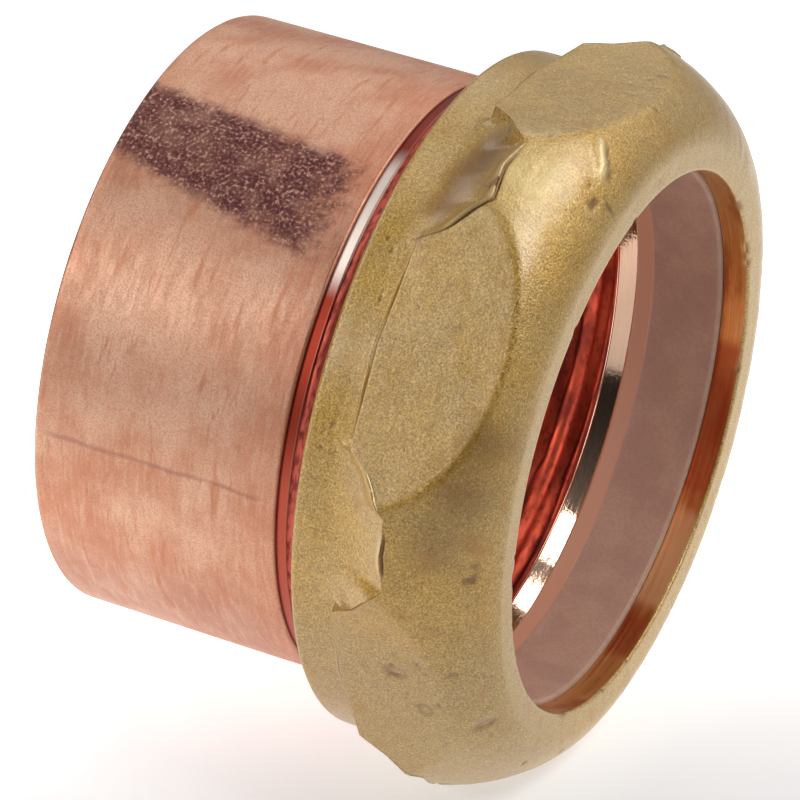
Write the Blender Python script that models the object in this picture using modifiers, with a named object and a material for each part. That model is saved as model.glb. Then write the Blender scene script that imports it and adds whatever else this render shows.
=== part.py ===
"""Copper trap adapter with a brass slip nut, for 1-1/2 inch drain tube.

Three separate pieces share one axis.  A solder cup and a rolled male thread are formed in
one copper body.  A cast brass slip nut turns on that thread, and a soft slip washer lies
trapped between the nut's lip and the front rim of the copper body.

Units are metres and +Z is up.  The fitting lies on its side: its axis is the X axis, with
the solder cup at -X and the slip nut at +X.  The origin is on the axis, halfway along the
fitting.  Lengths below are in millimetres.  A station is a distance along the axis from the
open rim of the solder cup, and a profile is a list of (station, radius) points.
"""

import math

import bmesh
import bpy

MM = 0.001

# Driving dimensions of the copper body
CUP_BORE_RADIUS = 20.72        # slides over 1-1/2 inch copper tube, 41.28 mm outside
TUBE_WALL = 1.13
CUP_RADIUS = CUP_BORE_RADIUS + TUBE_WALL
CUP_RIM_ROUND = 0.35
CUP_LEAD_IN = 0.3              # small chamfer inside the cup's rim
CREASE_STATION = 18.9          # rolled crease that ends the cup
CREASE_RIDGE = 0.12            # height of the ridge that the rolling raises beside the crease
CREASE_DEPTH = 0.08
STOP_RADIUS = 20.3             # inside bead under the crease, where the tube stops
STOP_ROUND = 0.6
BODY_LENGTH = 27.1
SHOULDER_ROUND = 0.4           # outer and inner rounding of the front rim
RIM_BORE_RADIUS = 19.5         # lets the 38.1 mm tailpiece through
RIM_THICKNESS = 1.5            # front rim, turned inwards
RIM_BACK_ROUND = 0.3

# Slip-joint thread: 11.5 threads per inch, right-handed, with a rounded form
THREAD_PITCH = 25.4 / 11.5
THREAD_HEIGHT = 0.9
MALE_ROOT_RADIUS = 22.3
MALE_THREAD_START = 20.6
MALE_THREAD_END = 26.4
INSIDE_IMPRESSION = 0.7        # share of the thread height that shows inside the tube
THREAD_CLEARANCE = 0.35
ROWS_PER_PITCH = 5
THREAD_FADE = 0.8              # length over which a thread rises or dies out

# Driving dimensions of the slip nut
NUT_REAR = 21.5
NUT_FRONT = 35.9
NUT_APOTHEM = 25.0             # half of the width across the flats
CORNER_RADIUS = 27.35
CORNER_STATION = 29.5
COLLAR_RADIUS = 24.75
COLLAR_CHAMFER = 0.4
COLLAR_END = 23.6
COVE_PROFILE = [(24.3, 25.05), (25.3, 26.0), (27.3, 26.6)]    # flare from collar to corners
FACE_RADIUS = 21.5             # outer edge of the flat front face
DOME_POWER = 1.75              # fullness of the dome: 1 is a cone, 2 is an ellipse
DOME_STEPS = 8
NUT_BORE_RADIUS = 19.7
NUT_BORE_CHAMFER = 0.2
LIP_THICKNESS = 2.0
FEMALE_MINOR_RADIUS = MALE_ROOT_RADIUS + THREAD_CLEARANCE
FEMALE_THREAD_END = 30.8
CHAMBER_RADIUS = 22.8
CHAMBER_RAMP = 0.3             # short cone between the thread and the washer chamber
MOUTH_RADIUS = 23.75           # countersunk mouth at the rear of the nut
MOUTH_DEPTH = 1.1
MOUTH_RIM = 0.6                # width of the nut's rear rim
FLAT_COUNT = 6

# Slip washer
TOUCH_GAP = 0.3                # kept between pieces that touch
WASHER_BORE_RADIUS = 19.3
WASHER_RADIUS = 22.35
WASHER_CHAMFER = 0.3

SEGMENTS = 48                  # round the axis
SHARP_ANGLE = math.radians(40.0)


# ---------------------------------------------------------------- scene helpers

def clear_scene():
    """Remove every object, so that the script starts from an empty scene."""
    for obj in list(bpy.data.objects):
        bpy.data.objects.remove(obj, do_unlink=True)


def make_collection(name):
    """Make a collection and link it to the scene."""
    collection = bpy.data.collections.new(name)
    bpy.context.scene.collection.children.link(collection)
    return collection


def make_material(name, colour, roughness, metallic):
    """Make a Principled material of one colour."""
    material = bpy.data.materials.new(name)
    material.use_nodes = True
    shader = material.node_tree.nodes["Principled BSDF"]
    shader.inputs["Base Color"].default_value = (*colour, 1.0)
    shader.inputs["Roughness"].default_value = roughness
    shader.inputs["Metallic"].default_value = metallic
    return material


def make_axis_empty(collection):
    """Make the empty that holds the fitting: its own Z runs along the fitting's axis."""
    axis = bpy.data.objects.new("fitting_axis", None)
    axis.location = (-0.5 * NUT_FRONT * MM, 0.0, 0.0)
    axis.rotation_euler = (0.0, math.radians(90.0), 0.0)
    collection.objects.link(axis)
    return axis


# ---------------------------------------------------------------- geometry helpers

def arc(centre, radius, start, end, steps):
    """Points on an arc, as (station, radius), with angles in degrees from +station."""
    points = []
    for step in range(steps + 1):
        angle = math.radians(start + (end - start) * step / steps)
        station = centre[0] + radius * math.cos(angle)
        height = centre[1] + radius * math.sin(angle)
        points.append((station, height))
    return points


def rows(start, end, radius):
    """Evenly spaced thread rows from start to end, at one radius."""
    spacing = THREAD_PITCH / ROWS_PER_PITCH
    count = max(1, round(abs(end - start) / spacing))
    return [(start + (end - start) * row / count, radius) for row in range(count + 1)]


def smooth_step(value):
    """Rise smoothly from 0 to 1 while value goes from 0 to 1."""
    value = min(1.0, max(0.0, value))
    return value * value * (3.0 - 2.0 * value)


def ridge(station, angle):
    """Height of the rounded thread ridge, 0 to 1, on a right-handed helix."""
    turns = station / THREAD_PITCH - angle / (2.0 * math.pi)
    return 0.5 + 0.5 * math.cos(2.0 * math.pi * turns)


def turned_mesh(name, outer, inner):
    """Turn a closed profile round the Z axis and return its mesh.

    The outer and inner points both run from the cup end to the nut end.
    """
    profile = list(reversed(outer)) + inner
    mesh = bpy.data.meshes.new(name + "_profile")
    points = [(radius * MM, 0.0, station * MM) for station, radius in profile]
    edges = [(index, (index + 1) % len(points)) for index in range(len(points))]
    mesh.from_pydata(points, edges, [])
    guide = bpy.data.objects.new(name + "_profile", mesh)
    bpy.context.scene.collection.objects.link(guide)
    screw = guide.modifiers.new("Turn", "SCREW")
    screw.axis = "Z"
    screw.angle = 2.0 * math.pi
    screw.steps = SEGMENTS
    screw.render_steps = SEGMENTS
    screw.use_merge_vertices = True
    screw.merge_threshold = 0.00001
    depsgraph = bpy.context.evaluated_depsgraph_get()
    turned = bpy.data.meshes.new_from_object(guide.evaluated_get(depsgraph))
    turned.name = name
    bpy.data.objects.remove(guide, do_unlink=True)
    return turned


def press_thread(mesh, shift):
    """Move each vertex along its radius by shift(station, radius, angle), in millimetres."""
    for vertex in mesh.vertices:
        x, y, z = vertex.co
        radius = math.hypot(x, y) / MM
        moved = radius + shift(z / MM, radius, math.atan2(y, x))
        vertex.co.x = x * moved / radius
        vertex.co.y = y * moved / radius


def add_piece(name, mesh, material, collection, axis):
    """Put a mesh in the fitting as a smooth-shaded piece."""
    piece = bpy.data.objects.new(name, mesh)
    collection.objects.link(piece)
    piece.parent = axis
    mesh.materials.clear()
    mesh.materials.append(material)
    mesh.shade_smooth()
    mesh.set_sharp_from_angle(angle=SHARP_ANGLE)
    return piece


# ---------------------------------------------------------------- copper body

def body_outer():
    """Outside of the copper body: cup, crease, flare, thread rows and front shoulder."""
    rim_centre = (CUP_RIM_ROUND, CUP_RADIUS - CUP_RIM_ROUND)
    points = arc(rim_centre, CUP_RIM_ROUND, 180.0, 90.0, 3)
    points.append((CREASE_STATION - 0.6, CUP_RADIUS))
    points.append((CREASE_STATION - 0.3, CUP_RADIUS + CREASE_RIDGE))
    points.append((CREASE_STATION, CUP_RADIUS - CREASE_DEPTH))
    points.append((CREASE_STATION + 0.8, CUP_RADIUS + 0.2))
    points.append((CREASE_STATION + 1.3, MALE_ROOT_RADIUS + 0.2))
    points += rows(MALE_THREAD_START, MALE_THREAD_END, MALE_ROOT_RADIUS)
    shoulder_centre = (BODY_LENGTH - SHOULDER_ROUND, MALE_ROOT_RADIUS - SHOULDER_ROUND)
    points += arc(shoulder_centre, SHOULDER_ROUND, 60.0, 0.0, 2)
    return points


def body_inner():
    """Inside of the copper body: cup, stop bead, rolled wall and inward rim."""
    rim_inside = BODY_LENGTH - RIM_THICKNESS
    wall_radius = MALE_ROOT_RADIUS - TUBE_WALL
    points = [(0.0, CUP_BORE_RADIUS + CUP_LEAD_IN), (0.5, CUP_BORE_RADIUS)]
    points.append((CREASE_STATION - 0.8, CUP_BORE_RADIUS))
    points += arc((CREASE_STATION, STOP_RADIUS + STOP_ROUND), STOP_ROUND, 225.0, 315.0, 2)
    points += rows(MALE_THREAD_START - 0.3, rim_inside - 0.6, wall_radius)
    points.append((rim_inside - 0.1, wall_radius - 0.5))
    back_centre = (rim_inside + RIM_BACK_ROUND, RIM_BORE_RADIUS + RIM_BACK_ROUND)
    points += arc(back_centre, RIM_BACK_ROUND, 180.0, 270.0, 2)
    front_centre = (BODY_LENGTH - SHOULDER_ROUND, RIM_BORE_RADIUS + SHOULDER_ROUND)
    points += arc(front_centre, SHOULDER_ROUND, 270.0, 360.0, 2)
    return points


def roll_body_thread(station, radius, angle):
    """Push the tube wall out into the thread, less on its inside than on its outside."""
    wall_middle = MALE_ROOT_RADIUS - 0.5 * TUBE_WALL
    outside = radius > wall_middle
    end = MALE_THREAD_END if outside else BODY_LENGTH - RIM_THICKNESS - 0.3
    rise = smooth_step((station - MALE_THREAD_START) / THREAD_FADE)
    fall = smooth_step((end - station) / THREAD_FADE)
    share = 1.0 if outside else INSIDE_IMPRESSION
    return share * THREAD_HEIGHT * ridge(station, angle) * rise * fall


def make_copper_body(collection, axis):
    """Solder cup and rolled male thread, formed in one copper tube."""
    copper = make_material("copper", (0.80, 0.42, 0.30), 0.30, 1.0)
    mesh = turned_mesh("copper_body", body_outer(), body_inner())
    press_thread(mesh, roll_body_thread)
    return add_piece("copper_body", mesh, copper, collection, axis)


# ---------------------------------------------------------------- slip nut

def dome_radius(station):
    """Radius of the domed front of the nut, a superellipse from corner to front face."""
    along = (station - CORNER_STATION) / (NUT_FRONT - CORNER_STATION)
    across = (1.0 - along ** DOME_POWER) ** (1.0 / DOME_POWER)
    return FACE_RADIUS + (CORNER_RADIUS - FACE_RADIUS) * across


def nut_outer():
    """Outside of the nut before its flats are cut: collar, cove, corner, dome and face."""
    points = [(NUT_REAR, MOUTH_RADIUS + MOUTH_RIM)]
    points.append((NUT_REAR + COLLAR_CHAMFER, COLLAR_RADIUS))
    points.append((COLLAR_END, COLLAR_RADIUS))
    points += COVE_PROFILE
    for step in range(DOME_STEPS + 1):
        # Stations crowd towards the front face, where the dome turns fastest.
        along = math.sin(0.5 * math.pi * step / DOME_STEPS)
        station = CORNER_STATION + (NUT_FRONT - CORNER_STATION) * along
        points.append((station, dome_radius(min(station, NUT_FRONT))))
    return points


def nut_inner():
    """Inside of the nut: mouth, thread rows, washer chamber, lip and bore."""
    lip_rear = NUT_FRONT - LIP_THICKNESS
    points = [(NUT_REAR, MOUTH_RADIUS)]
    points += rows(NUT_REAR + 0.5, FEMALE_THREAD_END, FEMALE_MINOR_RADIUS)
    points.append((FEMALE_THREAD_END + CHAMBER_RAMP, CHAMBER_RADIUS))
    points.append((lip_rear, CHAMBER_RADIUS))
    points.append((lip_rear, NUT_BORE_RADIUS))
    points.append((NUT_FRONT - NUT_BORE_CHAMFER, NUT_BORE_RADIUS))
    points.append((NUT_FRONT, NUT_BORE_RADIUS + NUT_BORE_CHAMFER))
    return points


def cut_nut_thread(station, radius, angle):
    """Sink the female thread into the bore and countersink its rear mouth."""
    in_thread = NUT_REAR < station < FEMALE_THREAD_END + 0.1
    if not in_thread or radius > FEMALE_MINOR_RADIUS + 0.05:
        return 0.0
    fall = smooth_step((FEMALE_THREAD_END - station) / THREAD_FADE)
    groove = THREAD_HEIGHT * ridge(station, angle) * fall
    depth_in = (station - NUT_REAR) / MOUTH_DEPTH
    countersink = (MOUTH_RADIUS - FEMALE_MINOR_RADIUS) * (1.0 - depth_in)
    return max(groove, countersink)


def cut_flats(nut, cutters, axis):
    """Cut the wrench flats by keeping what lies inside a hexagonal bar."""
    bar_mesh = bpy.data.meshes.new("flats_bar")
    bar_data = bmesh.new()
    corner = NUT_APOTHEM * MM / math.cos(math.pi / FLAT_COUNT)
    bmesh.ops.create_cone(bar_data, cap_ends=True, segments=FLAT_COUNT, radius1=corner,
                          radius2=corner, depth=3.0 * NUT_FRONT * MM)
    bar_data.to_mesh(bar_mesh)
    bar_data.free()
    bar = bpy.data.objects.new("flats_bar", bar_mesh)
    cutters.objects.link(bar)
    bar.parent = axis
    bar.hide_render = True
    bar.display_type = "WIRE"
    cut = nut.modifiers.new("Flats", "BOOLEAN")
    cut.operation = "INTERSECT"
    cut.solver = "EXACT"
    cut.object = bar


def make_slip_nut(collection, cutters, axis):
    """Cast hexagonal slip nut with a threaded bore and an inward lip at the front."""
    brass = make_material("brass", (0.62, 0.49, 0.24), 0.50, 1.0)
    mesh = turned_mesh("slip_nut", nut_outer(), nut_inner())
    press_thread(mesh, cut_nut_thread)
    nut = add_piece("slip_nut", mesh, brass, collection, axis)
    cut_flats(nut, cutters, axis)
    return nut


# ---------------------------------------------------------------- slip washer

def make_slip_washer(collection, axis):
    """Soft washer between the body's front rim and the nut's lip."""
    plastic = make_material("polyethylene", (0.78, 0.70, 0.68), 0.35, 0.0)
    rear = BODY_LENGTH + TOUCH_GAP
    front = NUT_FRONT - LIP_THICKNESS - TOUCH_GAP
    chamfer = WASHER_CHAMFER
    outer = [(rear, WASHER_RADIUS - chamfer), (rear + chamfer, WASHER_RADIUS)]
    outer += [(front - chamfer, WASHER_RADIUS), (front, WASHER_RADIUS - chamfer)]
    inner = [(rear, WASHER_BORE_RADIUS + chamfer), (rear + chamfer, WASHER_BORE_RADIUS)]
    inner += [(front - chamfer, WASHER_BORE_RADIUS), (front, WASHER_BORE_RADIUS + chamfer)]
    mesh = turned_mesh("slip_washer", outer, inner)
    return add_piece("slip_washer", mesh, plastic, collection, axis)


# ---------------------------------------------------------------- assembly

def main():
    """Build the fitting."""
    clear_scene()
    collection = make_collection("trap_adapter")
    cutters = make_collection("cutters")
    axis = make_axis_empty(collection)
    make_copper_body(collection, axis)
    make_slip_washer(collection, axis)
    make_slip_nut(collection, cutters, axis)


main()
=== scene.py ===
"""Looks of the copper trap adapter: a wrought copper body, a cast brass slip nut and a washer.

Each CAD node is replaced by a finer mesh of the same piece, turned round the same axis.
Stations are distances in millimetres along the axis from the cup's open rim, and angles
are measured round the axis from +Z towards +Y.  Meshes are in metres, in the row frame.
"""

import math

import bpy
import numpy as np
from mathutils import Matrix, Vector


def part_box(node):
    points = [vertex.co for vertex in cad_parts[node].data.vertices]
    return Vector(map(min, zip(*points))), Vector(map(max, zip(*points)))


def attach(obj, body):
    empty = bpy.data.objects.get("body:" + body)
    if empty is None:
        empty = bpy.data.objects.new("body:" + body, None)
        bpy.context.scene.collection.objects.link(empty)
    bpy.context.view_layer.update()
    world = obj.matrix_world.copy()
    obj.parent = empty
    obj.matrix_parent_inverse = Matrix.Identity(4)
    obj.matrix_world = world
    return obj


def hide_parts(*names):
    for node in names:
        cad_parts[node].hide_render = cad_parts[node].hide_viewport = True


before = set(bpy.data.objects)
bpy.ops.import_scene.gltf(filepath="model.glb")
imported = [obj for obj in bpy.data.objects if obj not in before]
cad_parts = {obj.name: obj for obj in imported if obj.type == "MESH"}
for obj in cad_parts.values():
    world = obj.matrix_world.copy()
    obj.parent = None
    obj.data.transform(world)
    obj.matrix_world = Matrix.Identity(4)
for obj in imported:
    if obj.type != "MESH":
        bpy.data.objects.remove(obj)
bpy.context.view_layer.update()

MM = 0.001
RIM_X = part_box("copper_body")[0].x               # the cup's open rim, at station 0
NUT_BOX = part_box("slip_nut")
NUT_REAR = (NUT_BOX[0].x - RIM_X) / MM
NUT_FRONT = (NUT_BOX[1].x - RIM_X) / MM
NUT_APOTHEM = NUT_BOX[1].z / MM
BODY_LENGTH = (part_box("copper_body")[1].x - RIM_X) / MM

# Copper body.  Outline points are (station, radius).
BODY_COLUMNS = 320
CUP_RADIUS = 21.85
CUP_BORE_RADIUS = 20.72
CUP_EDGE = 0.35                                  # rounding of the cup's rim
CUP_END = (18.4, CUP_RADIUS)
CREASE = 18.9
FLARE_FOOT = (18.98, 21.66)
FLARE_CREST = (19.68, 21.82)
CREASE_OUTLINE = [CUP_END, (18.66, 21.84), (18.78, 21.79), (18.85, 21.71), (CREASE, 21.64),
                  (18.94, 21.63), FLARE_FOOT]
THREAD_PITCH = 25.4 / 11.5
THREAD_HEIGHT = 0.9
THREAD_FADE = 0.8
MALE_ROOT = 22.3
MALE_START = 20.6
MALE_END = 26.4
ROOT_START = (20.9, MALE_ROOT)
ROOT_END = (26.5, MALE_ROOT)
FLARE_OUTLINE = [FLARE_CREST, (19.74, 21.81), (19.8, 21.76), (19.95, 21.76), (20.3, 21.9), ROOT_START]
WALL_INSIDE = MALE_ROOT - 1.13                   # inner radius of the threaded wall
FRONT_EDGE = 0.4                                 # rounding of the tube's front rim
RIM_BORE = 19.45
RIM_REAR = 25.6
RIM_BEVEL = 0.62
BEVEL_RADIUS = RIM_BORE + RIM_BEVEL
RIM_BEHIND = [(RIM_REAR, RIM_BORE + 0.12), (25.5, 20.5), (25.3, 20.95), (25.0, WALL_INSIDE)]
STOP_BEAD = [(20.3, WALL_INSIDE), (19.7, 20.9), (19.35, 20.45), (CREASE, 20.3), (18.45, 20.45),
             (18.1, CUP_BORE_RADIUS)]
INSIDE_IMPRESSION = 0.35                         # share of the thread's height that shows inside
THREADED_RADIUS = 21.0                           # the thread is pressed only outside this radius

# Materials of the copper body, by number
OUTSIDE, INSIDE, RIM, FLARE = range(4)

# Slip nut
NUT_COLUMNS = 584
FLAT_STEP = 60.0
CORNER_RADIUS = 27.7
CORNER_GROWTH = {30: 0.05, 90: 0.0, 150: -0.1, 210: -0.2, 270: -0.2, 330: 0.05}
FLAT_GROWTH = {0: 0.15, 60: 0.0, 120: -0.05, 180: 0.0, 240: 0.0, 300: 0.0}
DOME_START = 26.0
DOME_POWERS = {0: 1.9, 60: 1.95, 120: 1.9, 180: 1.8, 240: 1.55, 300: 2.05}
FLARE_START = 23.6
FLARE_POWER = 1.9
# Rear edge of the hexagon: (degrees from the middle of a flat, station)
PARTING = [(0.0, 24.9), (9.0, 25.15), (16.3, 25.3), (19.0, 27.1), (22.5, 28.5), (24.4, 29.5),
           (30.0, 29.15)]
FLAT_REACH = 17.8                                # degrees from the middle to the end of a flat
FACE_RADIUS = 21.5
NUT_BORE = 19.7
BORE_EDGE = 0.2
LIP_REAR = NUT_FRONT - 2.0
LIP_EDGE = 0.1
FEMALE_MINOR = 22.65
FEMALE_END = 30.8
CHAMBER_RADIUS = 22.8
MOUTH_RADIUS = 23.75
MOUTH_DEPTH = 1.1
COLLAR_RADIUS = 24.75
COLLAR_EDGE = 0.4
REAR_ROWS = 44
FRONT_ROWS = 43
ROWS_AHEAD = [0.03, 0.08, 0.14, 0.21, 0.3, 0.45, 0.7]       # close rows in front of the rear edge

# Casting marks on the nut
CAST_RADIUS = 26.0                               # turns angles into lengths along the casting
# A nick in the rear edge at one corner: (angle, half width, depth)
PARTING_NICK = (-84.5, 2.6, 0.42)
# Casting flash along the rear edge: (angle, half width, height, painted shadow line in front of it)
FLASH = [
    (-34.5, 10.5, 0.42, 0.9), (-80.0, 4.5, 0.36, 0.0), (-90.0, 4.5, 0.20, 1.0),
    (-99.0, 4.5, -0.20, 0.8), (-146.0, 9.0, 0.08, 0.0), (156.0, 12.0, 0.32, 0.5),
    (90.0, 10.0, 0.28, 0.5), (32.0, 8.0, 0.30, 0.4),
]
# Dents and blow marks: (station, angle, radius, depth)
DENTS = [
    (29.6, -114.5, 0.85, 0.10), (31.3, -123.0, 0.60, 0.10), (33.6, -112.5, 0.30, 0.12),
    (34.8, -129.0, 0.60, 0.22), (32.0, 12.0, 0.30, 0.10), (34.2, 75.0, 0.50, 0.12),
    (28.0, 118.0, 0.60, 0.12), (33.0, 170.0, 0.40, 0.12),
]
# Patches of painted shade, on the dome and in the hollow behind one corner: (station, angle, radius,
# darkness)
PAINTED_SHADE_PATCHES = [
    (34.2, -70.0, 2.2, 0.56), (33.6, -79.0, 2.2, 0.52), (32.4, -88.0, 2.4, 0.44),
    (26.8, -24.0, 1.7, 0.74), (26.2, -30.0, 2.0, 0.70), (25.6, -36.5, 1.8, 0.58),
]
# How bright wear has left the dome, by angle: most at the corners, with painted highlight on the
# upper corner at 330 degrees
WEAR_AND_HIGHLIGHT = {0: 0.0, 30: 0.3, 60: 0.0, 90: 0.3, 120: 0.0, 150: 0.3, 180: 0.0, 210: 0.2, 240: 0.0,
        300: 0.0, 318: 0.0, 330: 0.8, 342: 0.0}
# Slivers of flash on the dome: (station, angle) from, (station, angle) to, height
SLIVERS = [
    ((33.2, -15.0), (35.2, -29.0), 0.24),
    ((33.4, 148.0), (34.6, 159.0), 0.16),
]
# Sand grain: (height, spot size, noise seed), and the same for grain that the collar has less of
GRAIN = [(0.03, 7.0, 1), (0.012, 2.6, 2)]
FINE_GRAIN = [(0.014, 1.1, 3), (0.012, 0.55, 4)]
PIT_DEPTH = 0.10
GROOVE_DEPTH = 0.13
NICK_DEPTH = 0.09
FAR_OFF = 99.0                                   # distance given to rows off the cast outside

# Sectors of the nut's bore with painted reflections, dark red-brown and bright gold: (angle from,
# angle to, share, colour)
PAINTED_DARK_REFLECTION = (0.520, 0.130, 0.050)
PAINTED_BRIGHT_REFLECTION = (1.000, 0.900, 0.500)
BORE_PAINTED_REFLECTIONS = [
    (89.0, 123.0, 0.75, PAINTED_DARK_REFLECTION), (127.0, 150.0, 0.80, PAINTED_BRIGHT_REFLECTION), (153.0, 166.0, 0.60, PAINTED_DARK_REFLECTION),
    (-70.0, -35.0, 0.60, PAINTED_DARK_REFLECTION), (5.0, 26.0, 0.50, PAINTED_BRIGHT_REFLECTION),
]

# Washer
WASHER_COLUMNS = 240
WASHER_BORE = 19.3
WASHER_RADIUS = 22.35
WASHER_EDGE = 0.3
WASHER_STEP = 28.6
WASHER_STEP_DEPTH = 0.32
WASHER_GAP = 0.02                                # between the washer and what it touches

# Studio, in metres: walls as (azimuth, strength), and glowing pools of the light table as
# (middle, full out to, gone at, strength)
WALLS = [(200.0, 0.35), (110.0, 0.49)]
WALL_ELEVATION = 10.0
WALL_FADE = 0.2
AIR_GLOW = 0.02
TABLE_RADIUS = 12.0
TABLE_GAP = 0.35 * MM
TABLE_POOLS = [((-0.06, 0.10, 0.0), 0.09, 0.16, 0.55), ((-0.10, -0.02, 0.0), 0.05, 0.14, 0.52),
               ((0.06, 0.10, 0.0), 0.10, 0.20, 0.12)]
TABLE_GLOW = 0.09
# Soft boxes: (name, azimuth, elevation, distance, width, height, power, roll)
LIGHTS = [
    ("key", 70, 55, 0.6, 0.20, 0.20, 0.82, 0.0),
    ("second_key", 120, 55, 0.6, 0.20, 0.20, 0.56, 0.0),
    ("high_fill", 261, 70, 0.7, 0.3, 0.3, 0.43, 0.0),
    ("back_fill", 180, 40, 0.8, 0.6, 0.4, 0.42, 0.0),
    ("back_left_fill", 215, 45, 0.8, 0.4, 0.4, 0.35, 0.0),
    ("left_strip", 278, 38, 0.8, 0.9, 0.20, 1.08, 23.0),
    ("low_left_fill", 315, 20, 0.8, 0.4, 0.4, 1.08, 0.0),
    ("front_left_fill", 330, 27, 0.8, 0.3, 0.3, 0.50, 0.0),
]

# Camera: metres, degrees and millimetres
CAMERA_PLACE = (0.14414, -0.33874, 0.16794)
CAMERA_TURN = (65.0727, -6.0252, 25.8670)
CAMERA_LENS = 256.25
CAMERA_SENSOR = 36.0


# ---------------------------------------------------------------- noise and profiles

def smooth_step(value):
    """Rise smoothly from 0 to 1 while value goes from 0 to 1."""
    value = np.clip(value, 0.0, 1.0)
    return value * value * (3.0 - 2.0 * value)


def bell(value, width):
    """1 where value is 0, falling smoothly to about a third where it is width."""
    return np.exp(-((value / width) ** 2))


def cylinder_noise(along, angle, cell, seed, radius=25.0):
    """Smooth noise, -1 to 1, in spots of about cell mm; it joins up round the axis."""
    rows = 97
    wrap = max(3, round(2.0 * math.pi * radius / cell))
    table = np.random.default_rng(seed).uniform(-1.0, 1.0, (rows, wrap))
    u = along / cell
    v = np.mod(angle / (2.0 * math.pi), 1.0) * wrap
    u0 = np.floor(u).astype(int)
    v0 = np.floor(v).astype(int)
    fu = smooth_step(u - u0)
    fv = smooth_step(v - v0)
    this_row = u0 % rows
    next_row = (u0 + 1) % rows
    this_column = v0 % wrap
    next_column = (v0 + 1) % wrap
    low = table[this_row, this_column] * (1 - fv) + table[this_row, next_column] * fv
    high = table[next_row, this_column] * (1 - fv) + table[next_row, next_column] * fv
    return low * (1 - fu) + high * fu


def edge_noise(angle, cell, seed):
    """Noise that changes only with the angle."""
    return cylinder_noise(0.0 * angle, angle, cell, seed)


def line(start, end, spacing):
    """Points from start up to, but not including, end."""
    length = math.dist(start, end)
    count = max(1, round(length / spacing))
    share = np.arange(count)[:, None] / count
    return np.array(start) + share * (np.array(end) - np.array(start))


def arc(centre, radius, start, end, count):
    """Points on an arc, with angles in degrees from +station, without the last one."""
    angles = np.radians(start + (end - start) * np.arange(count) / count)
    return np.stack([centre[0] + radius * np.cos(angles), centre[1] + radius * np.sin(angles)], 1)


def curve(points, spacing):
    """Points on a smooth curve through the given ones, without the last one."""
    knots = np.array(points, float)
    padded = np.vstack([2 * knots[0] - knots[1], knots, 2 * knots[-1] - knots[-2]])
    made = []
    for index in range(len(knots) - 1):
        before, start, end, after = padded[index:index + 4]
        count = max(1, round(math.dist(start, end) / spacing))
        t = np.arange(count)[:, None] / count
        slope_start = 0.5 * (end - before)
        slope_end = 0.5 * (after - start)
        made.append((2 * t**3 - 3 * t**2 + 1) * start + (t**3 - 2 * t**2 + t) * slope_start
                    + (3 * t**2 - 2 * t**3) * end + (t**3 - t**2) * slope_end)
    return np.vstack(made)


def columns(count):
    """Angles round the axis, in radians, as a row."""
    return np.arange(count)[None, :] * (2.0 * math.pi / count)


def degrees_from(angle, centre):
    """Signed degrees from a centre to an angle in radians, between -180 and 180."""
    return (np.degrees(angle) - centre + 180.0) % 360.0 - 180.0


def round_axis(table, angle):
    """Value of an angle-keyed table, going straight from each entry to the next."""
    return np.interp(np.degrees(angle) % 360.0, list(table), list(table.values()), period=360.0)


def nearest(table, angle):
    """Value of an angle-keyed table for the entry nearest to each angle."""
    made = np.zeros_like(angle)
    best = np.full_like(angle, 360.0)
    for key, value in table.items():
        away = np.abs(degrees_from(angle, key))
        made = np.where(away < best, value, made)
        best = np.minimum(best, away)
    return made


def ridge(station, angle):
    """Height of the rounded thread ridge, 0 to 1: a right-handed helix, as in the CAD."""
    turns = station / THREAD_PITCH + (angle - math.pi) / (2.0 * math.pi)
    return 0.5 + 0.5 * np.cos(2.0 * math.pi * turns)


# ---------------------------------------------------------------- meshes

def place(station, radius, angle):
    """Row-frame points in metres, as an array of (row, column, xyz)."""
    x = RIM_X + station * MM
    y = radius * MM * np.sin(angle)
    z = radius * MM * np.cos(angle)
    return np.stack(np.broadcast_arrays(x, y, z), axis=-1)


def grid_normals(points):
    """Unit normals of a grid of points that closes on itself both ways."""
    down = np.roll(points, -1, 0) - np.roll(points, 1, 0)
    across = np.roll(points, -1, 1) - np.roll(points, 1, 1)
    normals = np.cross(down, across)
    return normals / np.maximum(np.linalg.norm(normals, axis=-1, keepdims=True), 1e-12)


def grid_piece(name, points, zones, materials, body, node, marks=None):
    """Make a piece of a closed grid that stands for a CAD node.

    Zones gives each row's material, and marks the numbers stored on the mesh's points.
    """
    row_count, column_count, _ = points.shape
    index = np.arange(row_count * column_count).reshape(row_count, column_count)
    below = np.roll(index, -1, 0)
    quads = np.stack([index, below, np.roll(below, -1, 1), np.roll(index, -1, 1)], -1)
    mesh = bpy.data.meshes.new(name)
    mesh.from_pydata(points.reshape(-1, 3).tolist(), [], quads.reshape(-1, 4).tolist())
    for material in materials:
        mesh.materials.append(material)
    mesh.polygons.foreach_set("material_index", np.repeat(zones, column_count))
    mesh.shade_smooth()
    for mark, values in (marks or {}).items():
        attribute = mesh.attributes.new(mark, "FLOAT", "POINT")
        attribute.data.foreach_set("value", values.astype(np.float32).ravel())
    piece = bpy.data.objects.new(name, mesh)
    bpy.context.scene.collection.objects.link(piece)
    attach(piece, body)
    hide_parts(node)
    return piece


# ---------------------------------------------------------------- copper body

def body_outside():
    """Outline of the copper body's outside, from the cup's rim to the front rim."""
    front_corner = MALE_ROOT - FRONT_EDGE
    return np.vstack([
        arc((CUP_EDGE, CUP_RADIUS - CUP_EDGE), CUP_EDGE, 180.0, 90.0, 6),
        line((CUP_EDGE, CUP_RADIUS), CUP_END, 0.7),
        curve(CREASE_OUTLINE, 0.03),
        line(FLARE_FOOT, FLARE_CREST, 0.06),
        curve(FLARE_OUTLINE, 0.05),
        line(ROOT_START, ROOT_END, 0.14),
        arc((BODY_LENGTH - FRONT_EDGE, front_corner), FRONT_EDGE, 70.0, 0.0, 5),
        line((BODY_LENGTH, front_corner), (BODY_LENGTH, BEVEL_RADIUS + 0.1), 0.3),
    ])


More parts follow.
